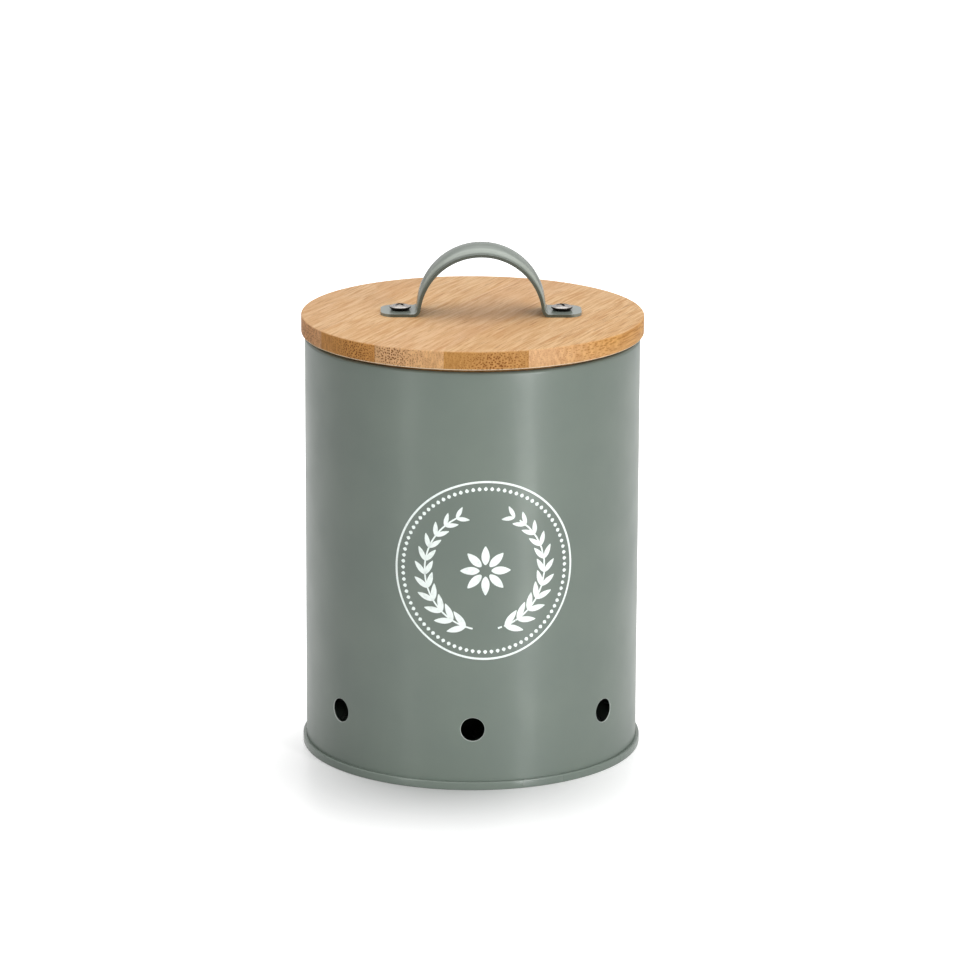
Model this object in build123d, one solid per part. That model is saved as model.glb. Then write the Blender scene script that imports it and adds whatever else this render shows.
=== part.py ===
from build123d import *
import math
import os

# Garlic keeper: a round powder-coated tin with a ring of vents near its foot, and a bamboo
# lid that lifts off by a pressed strap handle held by two screws.
# Frame: origin at the centre of the ring it stands on, +Z up, front towards -Y, handle along X.
# All sizes are in millimetres.

# Tin: one rolled sheet, closed by a lock seam up the back
can_diameter = 120.0         # outside of the straight wall
rim_height = 151.3           # top of the rolled rim above the table
sheet = 0.4                  # thickness of the tinplate, wall and base alike
curl_diameter = 2.5          # outside of the rim's inward roll
curl_turn = 195.0            # degrees that the edge is rolled through
side_seam_width = 5.0        # folded lock seam up the back, raised on the inside
side_seam_gap = 2.5          # free height between the lock seam and the base or the rim
seam_line_width = 0.5        # hairline that the lock seam leaves outside
seam_line_depth = 0.15

# Vents round the foot
vent_count = 7
vent_diameter = 8.5
vent_height = 22.1           # centre of the vents above the table

# Base: a stamped pan, double seamed to the wall
seam_height = 2.9            # height of the double seam's bead
seam_play = 0.03             # gap between the folded layers
hook_gap = 0.25              # free end gap of each seam hook
seam_bevel = 0.3             # flattened edges over and under the bead
base_recess = 3.4            # table to the underside of the panel
floor_bend = 0.9             # slanted turn from the panel down to the seam
panel_step = 0.8             # raised centre of the panel
panel_step_diameter = 96.0

# Lid: flat bamboo staves glued edge to edge, turned round, with a plug glued below
lid_gap = 1.1                # rim to the underside of the lid, which the seal's grip holds up
lid_overhang = 1.3           # lid beyond the wall all round
lid_thickness = 6.7
lid_bevel = 0.45             # eased edges, top and bottom
stave_count = 5
stave_width = 25.8
stave_shift = -3.1           # middle of the glue lines off the lid's centre
grain_angle = 65.0           # degrees from +X
plug_clearance = 2.5         # plug to the rolled rim, radially
plug_thickness = 8.0
plug_bevel = 0.8
groove_depth = 2.0
groove_height = 4.0
groove_drop = 2.2            # top of the groove below the lid's underside

# Silicone seal ring in the plug's groove
seal_play = 0.1              # ring to the groove's walls
seal_proud = 0.6             # ring's body beyond the plug
lip_gap = 0.3                # lip edge to the rolled rim
lip_root = 0.9               # lip thickness at the ring
lip_tip = 0.45               # lip thickness at its edge
lip_rise = 0.7               # how far each lip flares upwards

# Handle: one pressed steel strap, an arch with a raised bead between two flat feet
handle_shift = 3.0           # arch centre off the lid's centre, along +X
arch_radius = 21.7           # underside of the arch's rims
strap_width = 16.0
strap_thickness = 1.05
bead_rim = 1.3               # flat rim on each side of the bead
bead_lean = 0.5              # how far the bead's sides lean inwards
bead_side = 1.1              # height of the bead's sides at mid arch
bead_crown = 1.8             # rise of the bead's crown over its sides at mid arch
bead_start = 0.32            # the bead's height above the bends, as a share of that at mid arch
bead_end = 0.02              # height of the bead's sides where it dies out at the feet
foot_bend = 1.8              # inside radius of the bends at the feet
foot_end = 7.0               # screw to the end of the foot
foot_corner = 5.0            # rounded corners of the feet, seen from above
arch_stations = 7            # sections that the arch is drawn through
bend_stations = 3            # sections that each foot's bend is drawn through

# Screws: pan head, self-tapping
head_diameter = 8.0
head_height = 2.1
head_rim = 0.7               # straight rim below the dome
head_gap = 0.5               # head to the start of the foot's bend
shank_diameter = 4.0
screw_length = 13.0          # below the head
screw_point = 3.0
recess_span = 4.4            # cross recess, tip to tip
recess_slot = 1.0
recess_depth = 1.5
recess_taper = 12.0          # degrees
strap_hole_play = 0.3        # foot hole to shank, radially
pilot_play = 0.05            # hole in the wood to shank, radially

# Places that follow from the sizes above
can_radius = can_diameter / 2
wall_in = can_radius - sheet
curl_radius = curl_diameter / 2
curl_centre_z = rim_height - curl_radius
mouth_radius = can_radius - curl_diameter
lid_low = rim_height + lid_gap
lid_top = lid_low + lid_thickness
lid_radius = can_radius + lid_overhang
plug_radius = mouth_radius - plug_clearance
bend_outside = foot_bend + strap_thickness
bend_x = math.sqrt((arch_radius + bend_outside) ** 2 - bend_outside ** 2)
foot_angle = math.degrees(math.asin(bend_outside / (arch_radius + bend_outside)))
screw_x = bend_x + head_gap + head_diameter / 2
foot_x = screw_x + foot_end
screw_places = {"left": handle_shift - screw_x, "right": handle_shift + screw_x}

# Radii of the double seam's layers, from the inside out
chuck_out = wall_in - seam_play
chuck_in = chuck_out - sheet
end_hook_in = can_radius + seam_play
end_hook_out = end_hook_in + sheet
body_hook_in = end_hook_out + seam_play
body_hook_out = body_hook_in + sheet
bead_in = body_hook_out + seam_play
bead_out = bead_in + sheet
fold_low = sheet + seam_play


def turned(corners):
    """Solid of revolution about Z from (radius, height) corners."""
    with BuildSketch(Plane.XZ) as section:
        with BuildLine():
            Polyline(*corners, close=True)
        make_face()
    return revolve(section.sketch, Axis.Z, 360)


def can_body():
    """Rolled wall: curled rim above, body hook of the double seam below, vents and lock seam."""
    hook_top = seam_height - sheet - hook_gap
    with BuildSketch(Plane.XZ) as section:
        with BuildLine():
            outside = JernArc((can_radius, curl_centre_z), (0, 1), curl_radius, curl_turn)
            inside = JernArc((wall_in, curl_centre_z), (0, 1), curl_radius - sheet, curl_turn)
            Line(outside @ 1, inside @ 1)
            Polyline(
                (wall_in, curl_centre_z),
                (wall_in, fold_low),
                (body_hook_out, fold_low),
                (body_hook_out, hook_top),
                (body_hook_in, hook_top),
                (body_hook_in, fold_low + sheet),
                (can_radius, fold_low + sheet),
                (can_radius, curl_centre_z),
            )
        make_face()
    wall = revolve(section.sketch, Axis.Z, 360)
    wall += side_seam_fold()
    wall -= side_seam_line()
    for vent in range(vent_count):
        turn = Rot(0, 0, 360 * vent / vent_count)
        drill = Pos(0, -can_radius, vent_height) * Rot(90, 0, 0)
        wall -= turn * drill * Cylinder(vent_diameter / 2, 8 * sheet)
    return wall


def side_seam_fold():
    """The lock seam's flattened fold, inside the wall at the back."""
    low = base_recess + sheet + side_seam_gap
    high = rim_height - curl_diameter - side_seam_gap
    half_turn = math.degrees(side_seam_width / wall_in) / 2
    with BuildSketch(Plane.XZ) as section:
        with Locations((wall_in - sheet, low)):
            Rectangle(1.5 * sheet, high - low, align=(Align.MIN, Align.MIN))
    return Rot(0, 0, 90 - half_turn) * revolve(section.sketch, Axis.Z, 2 * half_turn)


def side_seam_line():
    """Shallow line that the closed fold leaves outside."""
    low = seam_height + side_seam_gap
    high = curl_centre_z - side_seam_gap
    upright = (Align.CENTER, Align.CENTER, Align.MIN)
    groove = Box(seam_line_width, 2 * seam_line_depth, high - low, align=upright)
    return Pos(side_seam_width / 2, can_radius, low) * groove


def can_base():
    """Stamped pan: raised panel, chuck wall, and the outer layers of the double seam."""
    panel_low = base_recess
    panel_top = panel_low + sheet
    step_in = panel_step_diameter / 2
    step_out = step_in + panel_step
    bend_in = floor_bend - sheet * (2 - math.sqrt(2))
    hook_low = fold_low + sheet + hook_gap
    return turned([
        (0, panel_low + panel_step),
        (step_in, panel_low + panel_step),
        (step_out, panel_low),
        (chuck_in - bend_in, panel_low),
        (chuck_in, panel_low - bend_in),
        (chuck_in, 0),
        (bead_out - seam_bevel, 0),
        (bead_out, seam_bevel),
        (bead_out, seam_height - seam_bevel),
        (bead_out - seam_bevel, seam_height),
        (end_hook_in, seam_height),
        (end_hook_in, hook_low),
        (end_hook_out, hook_low),
        (end_hook_out, seam_height - sheet),
        (bead_in, seam_height - sheet),
        (bead_in, sheet),
        (chuck_out, sheet),
        (chuck_out, panel_top - floor_bend),
        (chuck_out - floor_bend, panel_top),
        (step_out, panel_top),
        (step_in, panel_top + panel_step),
        (0, panel_top + panel_step),
    ])


def screw_holes(radius, low, high):
    """Drills on the two screw axes from low to high."""
    drill = Cylinder(radius, high - low, align=(Align.CENTER, Align.CENTER, Align.MIN))
    return [Pos(x, 0, low) * drill for x in screw_places.values()]


def screw_tip_z():
    return lid_top + strap_thickness - screw_length


def lid_staves():
    """The round board, bored for the screws and cut along its glue lines."""
    board = Pos(0, 0, lid_low + lid_thickness / 2) * Cylinder(lid_radius, lid_thickness)
    board = chamfer(board.edges().filter_by(GeomType.CIRCLE), lid_bevel)
    for drill in screw_holes(shank_diameter / 2 + pilot_play, lid_low - 1, lid_top + 1):
        board -= drill
    first_line = stave_shift - stave_width * (stave_count - 2) / 2
    far = 2 * lid_radius
    staves = []
    for stave in range(stave_count):
        low = first_line + stave_width * (stave - 1) if stave > 0 else -far
        high = first_line + stave_width * stave if stave < stave_count - 1 else far
        strip = Pos(0, (low + high) / 2, lid_low) * Box(2 * far, high - low, 4 * lid_thickness)
        staves.append(board & (Rot(0, 0, grain_angle) * strip))
    return staves


def lid_plug():
    """Locating disc glued under the staves, grooved for the seal, with blind screw holes."""
    low = lid_low - plug_thickness
    groove_top = lid_low - groove_drop
    groove_low = groove_top - groove_height
    groove_radius = plug_radius - groove_depth
    plug = turned([
        (0, low),
        (plug_radius - plug_bevel, low),
        (plug_radius, low + plug_bevel),
        (plug_radius, groove_low),
        (groove_radius, groove_low),
        (groove_radius, groove_top),
        (plug_radius, groove_top),
        (plug_radius, lid_low),
        (0, lid_low),
    ])
    for drill in screw_holes(shank_diameter / 2 + pilot_play, screw_tip_z() - pilot_play, lid_low + 1):
        plug -= drill
    return plug


def lid_seal():
    """Silicone ring: a flat body in the groove and two lips flaring up towards the rim."""
    low = lid_low - groove_drop - groove_height + seal_play
    high = lid_low - groove_drop - seal_play
    inside = plug_radius - groove_depth + seal_play
    body = plug_radius + seal_proud
    lip = mouth_radius - lip_gap
    corners = [(inside, low)]
    for root_low in (low, high - lip_root - lip_rise):
        corners += [
            (body, root_low),
            (lip, root_low + lip_rise),
            (lip, root_low + lip_rise + lip_tip),
            (body, root_low + lip_root),
        ]
    corners += [(body, high), (inside, high)]
    return turned(corners)


def arch_plane(angle):
    """Plane across the strap at an angle up the arch, its y axis pointing out of the arch."""
    turn = math.radians(angle)
    out = Vector(math.cos(turn), 0, math.sin(turn))
    along = Vector(-math.sin(turn), 0, math.cos(turn))
    return Plane(origin=arch_radius * out, x_dir=(0, 1, 0), z_dir=-along)


def bend_plane(angle):
    """Plane across the strap in a foot's bend, its y axis pointing at the bend's centre."""
    turn = math.radians(angle)
    inward = Vector(math.sin(turn), 0, math.cos(turn))
    along = Vector(math.cos(turn), 0, -math.sin(turn))
    centre = Vector(bend_x, 0, bend_outside)
    return Plane(origin=centre - bend_outside * inward, x_dir=(0, 1, 0), z_dir=along)


def strap_section(plane, rise):
    """Sheet section with flat rims and a raised bead, its height a share of that at mid arch."""
    side_height = bead_end + (bead_side - bead_end) * rise
    crown = bead_end + (bead_crown - bead_end) * rise ** 2
    edge = strap_width / 2
    base = edge - bead_rim
    outer_half = base - bead_lean
    outer_radius = (crown ** 2 + outer_half ** 2) / (2 * crown)
    inner_radius = outer_radius - strap_thickness
    inner_half = outer_half - strap_thickness
    inner_top = side_height + crown
    inner_shoulder = inner_top - inner_radius + math.sqrt(inner_radius ** 2 - inner_half ** 2)
    shoulder = strap_thickness + side_height
    right = [
        (inner_half, inner_shoulder),
        (base - strap_thickness, 0),
        (edge, 0),
        (edge, strap_thickness),
        (base, strap_thickness),
        (outer_half, shoulder),
    ]
    left = [(-x, y) for x, y in right]
    with BuildSketch(plane) as section:
        with BuildLine():
            Polyline(*right)
            Polyline(*left)
            ThreePointArc((-outer_half, shoulder), (0, shoulder + crown), (outer_half, shoulder))
            ThreePointArc((-inner_half, inner_shoulder), (0, inner_top), (inner_half, inner_shoulder))
        make_face()
    return section.sketch


def handle_arch():
    """The strip bent to an arch, with a bead raised along it that sinks towards the feet."""
    span = 180 - 2 * foot_angle
    sections = []
    for station in range(arch_stations):
        share = station / (arch_stations - 1)
        rise = bead_start + (1 - bead_start) * math.sin(math.pi * share)
        sections.append(strap_section(arch_plane(foot_angle + span * share), rise))
    return loft(sections)


def handle_foot():
    """One flat foot with its bend up to the arch, on the +X side of the arch's centre."""
    sections = []
    for station in range(bend_stations):
        share = station / (bend_stations - 1)
        sections.append(strap_section(bend_plane((90 - foot_angle) * share), bead_start * share))
    bend = loft(sections)
    tab = Box(foot_x - bend_x, strap_width, strap_thickness, align=(Align.MIN, Align.CENTER, Align.MIN))
    foot_end_area = Pos(foot_x - foot_corner / 2, 0) * Rectangle(foot_corner, 2 * strap_width)
    rounded = Pos(foot_x - strap_width, 0) * RectangleRounded(2 * strap_width, strap_width, foot_corner)
    corners = extrude(foot_end_area - rounded, 2 * strap_thickness)
    hole = Pos(screw_x, 0, 0) * Cylinder(shank_diameter / 2 + strap_hole_play, 4 * strap_thickness)
    return bend + (Pos(bend_x, 0, 0) * tab - corners - hole)


def handle_strap():
    """The whole strap: arch and two feet, standing on the lid."""
    strap = handle_arch() + handle_foot() + Rot(0, 0, 180) * handle_foot()
    return Pos(handle_shift, 0, lid_top) * strap


def handle_screw(x):
    """Pan-head self-tapping screw with a cross recess, its head down on the foot."""
    with BuildSketch(Plane.XZ) as section:
        with BuildLine():
            head = head_diameter / 2
            shank = shank_diameter / 2
            dome = TangentArc((0, head_height), (head, head_rim), tangent=(1, 0))
            Polyline(
                dome @ 1,
                (head, 0),
                (shank, 0),
                (shank, screw_point - screw_length),
                (0, -screw_length),
                dome @ 0,
            )
        make_face()
    screw = revolve(section.sketch, Axis.Z, 360)
    head_top = Plane(origin=(0, 0, head_height), z_dir=(0, 0, -1))
    cross = Rectangle(recess_span, recess_slot) + Rectangle(recess_slot, recess_span)
    screw -= extrude(head_top * cross, recess_depth, taper=recess_taper)
    return Pos(x, 0, lid_top + strap_thickness) * Rot(0, 0, 45) * screw


nodes = {"can_body": can_body(), "can_base": can_base()}
for number, stave in enumerate(lid_staves(), 1):
    nodes[f"lid_stave_{number}"] = stave
nodes["lid_plug"] = lid_plug()
nodes["lid_seal"] = lid_seal()
nodes["handle_strap"] = handle_strap()
for side, x in screw_places.items():
    nodes[f"handle_screw_{side}"] = handle_screw(x)

os.makedirs("parts", exist_ok=True)
for name, solid in nodes.items():
    export_step(solid, f"parts/{name}.step")
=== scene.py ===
import math

import bmesh
import bpy
from mathutils import Matrix, Vector


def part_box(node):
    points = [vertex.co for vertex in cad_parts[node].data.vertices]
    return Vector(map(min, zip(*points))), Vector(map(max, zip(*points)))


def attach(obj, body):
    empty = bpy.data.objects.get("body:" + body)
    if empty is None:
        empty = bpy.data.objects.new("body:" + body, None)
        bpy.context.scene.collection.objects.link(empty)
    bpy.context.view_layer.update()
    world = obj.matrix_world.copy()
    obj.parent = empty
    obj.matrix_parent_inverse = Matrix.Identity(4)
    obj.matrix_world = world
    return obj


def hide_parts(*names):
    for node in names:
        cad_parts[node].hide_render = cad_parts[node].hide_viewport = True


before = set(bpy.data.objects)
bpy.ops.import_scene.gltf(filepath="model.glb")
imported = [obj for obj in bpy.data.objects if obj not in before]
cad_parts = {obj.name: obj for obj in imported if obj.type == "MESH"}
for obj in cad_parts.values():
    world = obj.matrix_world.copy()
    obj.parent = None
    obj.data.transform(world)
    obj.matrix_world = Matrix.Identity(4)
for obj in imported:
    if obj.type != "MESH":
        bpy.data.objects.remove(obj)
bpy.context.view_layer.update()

# Lengths are in metres, and those of the object are written in millimetres, times MM.
MM = 0.001

# ---------------------------------------------------------------- camera
# A long lens from a little above the lid, as a catalogue shows such a keeper. The can's front
# is turned half a degree away, so that the front vent stands just right of the middle.
camera_distance = 1.6422
camera_height = 0.5317
camera_orbit = math.radians(-0.5)
camera_pitch = math.radians(14.82)
camera_yaw = math.radians(0.10)
camera_roll = math.radians(0.232)
camera_lens = 176.66
sensor_width = 36


def camera_pose():
    """The camera's matrix, from its place on the orbit and its three small turns."""
    ahead = Vector((
        math.sin(camera_yaw) * math.cos(camera_pitch),
        math.cos(camera_yaw) * math.cos(camera_pitch),
        -math.sin(camera_pitch),
    ))
    across = ahead.cross(Vector((0, 0, 1))).normalized()
    upward = across.cross(ahead)
    right = math.cos(camera_roll) * across + math.sin(camera_roll) * upward
    above = math.cos(camera_roll) * upward - math.sin(camera_roll) * across
    turn = Matrix((right, above, -ahead)).transposed().to_4x4()
    place = Matrix.Translation((0, -camera_distance, camera_height))
    return Matrix.Rotation(camera_orbit, 4, "Z") @ place @ turn


lens = bpy.data.cameras.new("camera")
lens.lens = camera_lens
lens.sensor_width = sensor_width
camera = bpy.data.objects.new("camera", lens)
bpy.context.scene.collection.objects.link(camera)
camera.matrix_world = camera_pose()
bpy.context.scene.camera = camera

# ---------------------------------------------------------------- can wall
# One tinplate sheet, rolled round and locked in a folded seam up the back, with its top edge
# curled inwards and seven vents punched near the foot. It is powder coated inside and out.
can_radius = 60 * MM
sheet = 0.4 * MM
rim_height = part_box("can_body")[1].z
curl_radius = 1.25 * MM
curl_turn = 195
curl_steps = 26
layer_gap = 0.03 * MM
hook_gap = 0.25 * MM
bead_height = 2.9 * MM

vent_count = 7
vent_radius = 4.25 * MM
vent_height = 22.1 * MM
vent_lip = 0.18 * MM
lip_turns = (22.5, 45, 67.5, 90)
patch_half = 8 * MM
patch_steps = 14
patch_shares = (0.35, 0.62, 0.82, 0.94, 1)
# From a vent's outer loop to its inner one, these steps make the punched edge.
punched_steps = range(len(patch_shares), len(patch_shares) + 2 * len(lip_turns) + 1)
side_steps = 16

seam_half = 2.5 * MM
seam_ramp = 0.3 * MM
seam_groove = 0.15 * MM
seam_groove_half = 0.3 * MM
groove_steps = 3
seam_ends = (6.3 * MM, rim_height - 5 * MM)
column_gap = 0.5 * MM
on_wall = 0.01 * MM
weld = 0.0005 * MM
sharp_angle = math.radians(42)

wall_inside = can_radius - sheet
curl_centre = (can_radius - curl_radius, rim_height - curl_radius)
hook_inside = can_radius + 2 * layer_gap + sheet
hook_outside = hook_inside + sheet
hook_top = bead_height - sheet - hook_gap
fold_low = sheet + layer_gap


def rounded(corners, steps=5):
    """Closed outline through (x, y, rounding) corners, with each rounding as a short arc."""
    outline = []
    for i, (x, y, size) in enumerate(corners):
        here = Vector((x, y))
        if size == 0:
            outline.append(here)
            continue
        back = (Vector(corners[i - 1][:2]) - here).normalized()
        on = (Vector(corners[(i + 1) % len(corners)][:2]) - here).normalized()
        half = back.angle(on) / 2
        centre = here + (back + on).normalized() * size / math.sin(half)
        start = here + back * size / math.tan(half) - centre
        turn = start.angle_signed(here + on * size / math.tan(half) - centre)
        for step in range(steps + 1):
            outline.append(centre + Matrix.Rotation(-turn * step / steps, 2) @ start)
    return outline


def with_heights(outline, heights):
    """The same closed outline, with a point added wherever it crosses one of the heights."""
    finer = []
    for here, there in zip(outline, outline[1:] + outline[:1]):
        finer.append(here)
        crossed = [h for h in heights if min(here.y, there.y) < h < max(here.y, there.y)]
        crossed.sort(reverse=there.y < here.y)
        finer += [here.lerp(there, (h - here.y) / (there.y - here.y)) for h in crossed]
    return finer


def smooth(share):
    """Eases from 0 to 1."""
    share = min(max(share, 0), 1)
    return share * share * (3 - 2 * share)


def around(radius, angle, z):
    """A point at an angle from the front, positive towards the right."""
    return Vector((radius * math.sin(angle), -radius * math.cos(angle), z))


def make_piece(name, shape, finish, body, slot, *nodes):
    """Turns a bmesh into a smooth-shaded piece that rides on a body in the place of CAD nodes."""
    bmesh.ops.remove_doubles(shape, verts=shape.verts, dist=weld)
    bmesh.ops.recalc_face_normals(shape, faces=shape.faces)
    mesh = bpy.data.meshes.new(name)
    shape.to_mesh(mesh)
    shape.free()
    mesh.shade_smooth()
    mesh.set_sharp_from_angle(angle=sharp_angle)
    mesh.materials.append(finish)
    piece = bpy.data.objects.new(name, mesh)
    bpy.context.scene.collection.objects.link(piece)
    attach(piece, body)
    if nodes:
        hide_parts(*nodes)
    return piece


def linear(code):
    """The linear colour of an sRGB hex value such as #808080."""
    parts = [int(code[i:i + 2], 16) / 255 for i in (1, 3, 5)]
    return [p / 12.92 if p < 0.04045 else ((p + 0.055) / 1.055) ** 2.4 for p in parts] + [1]


def node(tree, kind, inputs=None, **settings):
    """Adds a shader node with its settings, and with values or links for its inputs. A MapRange
    takes 1 and 2 as the range it reads and 3 and 4 as the one it gives. A colour Mix takes 0 as
    the share of colour 7 over colour 6."""
    made = tree.nodes.new("ShaderNode" + kind)
    for setting, value in settings.items():
        setattr(made, setting, value)
    for socket, value in (inputs or {}).items():
        if isinstance(value, bpy.types.NodeSocket):
            tree.links.new(value, made.inputs[socket])
        else:
            made.inputs[socket].default_value = value
    return made.outputs


def new_material(name):
    """A material with only its output node, and its node tree."""
    made = bpy.data.materials.new(name)
    made.use_nodes = True
    made.node_tree.nodes.clear()
    return made, made.node_tree


def powder_coat(name, paint, mottle, smoothest, painted_light=None):
    """Satin polyester powder coat, baked on: a grey sage with a faint orange peel. The eye sees
    soft wide highlights, and up close a fine ripple and a touch of mottling. The function given
    last, if any, adds tints that paint highlights and shade onto a piece's coat."""
    peel_size = 0.9 * MM
    peel_depth = 0.1 * MM
    mottle_size = 22 * MM
    gloss_spread = 0.07
    made, tree = new_material(name)
    place = node(tree, "TexCoord")["Object"]
    peel = node(tree, "TexNoise", {"Vector": place, "Scale": 1 / peel_size, "Detail": 1.5})
    cloud = node(tree, "TexNoise", {"Vector": place, "Scale": 1 / mottle_size, "Detail": 3})
    share = node(tree, "MapRange", {"Value": cloud[0], 1: 0.35, 2: 0.65})[0]
    tint = node(tree, "Mix", {0: share, 6: linear(paint), 7: linear(mottle)}, data_type="RGBA")[2]
    gloss = node(tree, "MapRange", {
        "Value": cloud[0], 1: 0.3, 2: 0.7, 3: smoothest, 4: smoothest + gloss_spread,
    })[0]
    # Painted highlights and painted shade go over the coat's colour here.
    if painted_light:
        tint = painted_light(tree, tint)
    ripple = node(tree, "Bump", {"Height": peel[0], "Strength": 0.06, "Distance": peel_depth})[0]
    shader = node(tree, "BsdfPrincipled", {
        "Base Color": tint,
        "Roughness": gloss,
        "IOR": 1.5,
        "Normal": ripple,
    })
    node(tree, "OutputMaterial", {"Surface": shader[0]})
    return made


def wall_point(angle, radius, z):
    """A point of the wall, moved where the lock seam's fold stands in and its line dips."""
    along = (angle - math.pi) * can_radius
    within = smooth((z - seam_ends[0]) / seam_ramp) * smooth((seam_ends[1] - z) / seam_ramp)
    if abs(radius - wall_inside) < on_wall:
        fold = smooth((seam_half - abs(along)) / seam_ramp)
        radius -= sheet * fold * within
    elif abs(radius - can_radius) < on_wall:
        from_line = (along + seam_half) / seam_groove_half
        radius -= seam_groove * max(0, 1 - from_line ** 2) * within
    return around(radius, angle, z)


def wall_columns():
    """Angles of the wall's columns from the front: even ones, and closer ones at the lock seam.
    Also gives the columns where each vent's patch starts."""
    pitch = math.tau / vent_count
    patch = patch_half / can_radius
    columns = []
    patch_starts = []
    for vent in range(vent_count):
        middle = vent * pitch
        patch_starts.append(len(columns))
        columns += [middle + patch * (2 * k / patch_steps - 1) for k in range(patch_steps)]
        span = pitch - 2 * patch
        side = [middle + patch + span * k / side_steps for k in range(side_steps)]
        if side[0] < math.pi < side[-1]:
            edges = [-seam_half - seam_ramp]
            edges += [seam_half + step * seam_ramp for step in (-1, 0, 1)]
            for k in range(-groove_steps, groove_steps + 1):
                edges.append(seam_groove_half * k / groove_steps - seam_half)
            near = [math.pi + edge / can_radius for edge in edges]
            clear = column_gap / can_radius
            side = [a for a in side if all(abs(a - b) > clear for b in near)]
            side = sorted(side + near)
        columns += side
    return columns, patch_starts


def vent_loops(shape, middle, square):
    """Loops of points from a square patch outside, in through a vent's rounded edge, to the
    same square inside. square lists the patch's edge points, flat, from the vent's middle."""
    lip_radius = vent_radius + vent_lip
    loops = [(share, lip_radius, 0) for share in patch_shares]
    for turn in lip_turns:
        bent = math.radians(turn)
        loops.append((1, lip_radius - vent_lip * math.sin(bent), vent_lip * (1 - math.cos(bent))))
    loops += [(share, radius, sheet - depth) for share, radius, depth in reversed(loops)]
    made = []
    for share, radius, depth in loops:
        ring = []
        for flat in square:
            spot = flat.lerp(flat.normalized() * radius, share)
            angle = middle + spot.x / can_radius
            ring.append(shape.verts.new(around(can_radius - depth, angle, vent_height + spot.y)))
        made.append(ring)
    return made


def can_wall():
    """The whole wall as one closed skin, in a ring of columns, with round vents let into it. The
    vents' punched edges take the second finish."""
    turns = [math.radians(curl_turn * k / curl_steps) for k in range(1, curl_steps)]
    curl = []
    for radius, bends in ((curl_radius, turns), (curl_radius - sheet, reversed(turns))):
        for turn in bends:
            x = curl_centre[0] + radius * math.cos(turn)
            curl.append((x, curl_centre[1] + radius * math.sin(turn), 0))
    outline = rounded([
        (can_radius, curl_centre[1], 0),
        *curl,
        (wall_inside, curl_centre[1], 0),
        (wall_inside, fold_low, sheet),
        (hook_outside, fold_low, sheet),
        (hook_outside, hook_top, sheet / 3),
        (hook_inside, hook_top, sheet / 3),
        (hook_inside, fold_low + sheet, 0),
        (can_radius, fold_low + sheet, 0),
    ])
    band = [vent_height + patch_half * (2 * k / patch_steps - 1) for k in range(patch_steps + 1)]
    ends = [z + step * seam_ramp for z in seam_ends for step in (-1, -0.5, 0, 0.5, 1)]
    outline = with_heights(outline, band + ends)
    columns, patch_starts = wall_columns()
    rows = len(outline)
    shape = bmesh.new()
    skin = [[shape.verts.new(wall_point(a, p.x, p.y)) for p in outline] for a in columns]

    def row_at(radius, z):
        return min(range(rows), key=lambda j: (outline[j] - Vector((radius, z))).length)

    outer_rows = [row_at(can_radius, z) for z in band]
    inner_rows = [row_at(wall_inside, z) for z in band]
    open_faces = set()
    for start in patch_starts:
        for i in range(start, start + patch_steps):
            for k in range(patch_steps):
                open_faces.add((i, min(outer_rows[k], outer_rows[k + 1])))
                open_faces.add((i, min(inner_rows[k], inner_rows[k + 1])))
    for i in range(len(columns)):
        beside = (i + 1) % len(columns)
        for j in range(rows):
            if (i, j) not in open_faces:
                above = (j + 1) % rows
                shape.faces.new((skin[i][j], skin[beside][j], skin[beside][above], skin[i][above]))

    edge = [(k, 0) for k in range(patch_steps)]
    edge += [(patch_steps, k) for k in range(patch_steps)]
    edge += [(patch_steps - k, patch_steps) for k in range(patch_steps)]
    edge += [(0, patch_steps - k) for k in range(patch_steps)]
    step = 2 * patch_half / patch_steps
    square = [Vector((i * step - patch_half, k * step - patch_half)) for i, k in edge]
    for vent, start in enumerate(patch_starts):
        outer = [skin[(start + i) % len(columns)][outer_rows[k]] for i, k in edge]
        inner = [skin[(start + i) % len(columns)][inner_rows[k]] for i, k in edge]
        loops = [outer, *vent_loops(shape, vent * math.tau / vent_count, square), inner]
        for step, (loop, following) in enumerate(zip(loops, loops[1:])):
            for k in range(len(edge)):
                beside = (k + 1) % len(edge)
                face = shape.faces.new((loop[k], loop[beside], following[beside], following[k]))
                face.material_index = int(step in punched_steps)
    return shape


paint = powder_coat("satin_powder_coat", "#6c776e", "#68736b", 0.32)
wall_piece = make_piece("can_wall", can_wall(), paint, "can", "sage_paint", "can_body")
# A paler tint is painted on the vents' punched edges as their highlight.
vent_edge_painted_highlight = powder_coat("painted_highlight_on_vent_edges", "#b4bbb5", "#a5ada7", 0.32)
wall_piece.data.materials.append(vent_edge_painted_highlight)

# ---------------------------------------------------------------- can base
# A stamped pan with a raised centre, coated a little glossier than the wall and seamed to it
# all round. Its edge wraps the wall's hook in a bead, and the can stands on the ring below.
base_recess = 3.4 * MM
panel_step = 0.8 * MM
panel_radius = 48 * MM
floor_bend = 0.9 * MM
bead_round = 0.45 * MM
foot_round = 0.3 * MM
joint_round = 0.06 * MM
turn_steps = 256

chuck_outside = wall_inside - layer_gap
chuck_inside = chuck_outside - sheet
end_hook_inside = can_radius + layer_gap
end_hook_outside = end_hook_inside + sheet
bead_inside = hook_outside + layer_gap
bead_outside = bead_inside + sheet


def lathe(outline):
    """A closed skin of revolution about Z, from an outline of radius and height."""
    shape = bmesh.new()
    columns = []
    for k in range(turn_steps):
        angle = math.tau * k / turn_steps
        columns.append([shape.verts.new(around(p.x, angle, p.y)) for p in outline])
    for i, column in enumerate(columns):
        beside = columns[(i + 1) % turn_steps]
        for j in range(len(outline)):
            above = (j + 1) % len(outline)
            if outline[j].x > 0 or outline[above].x > 0:
                shape.faces.new((column[j], beside[j], beside[above], column[above]))
    return shape


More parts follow.
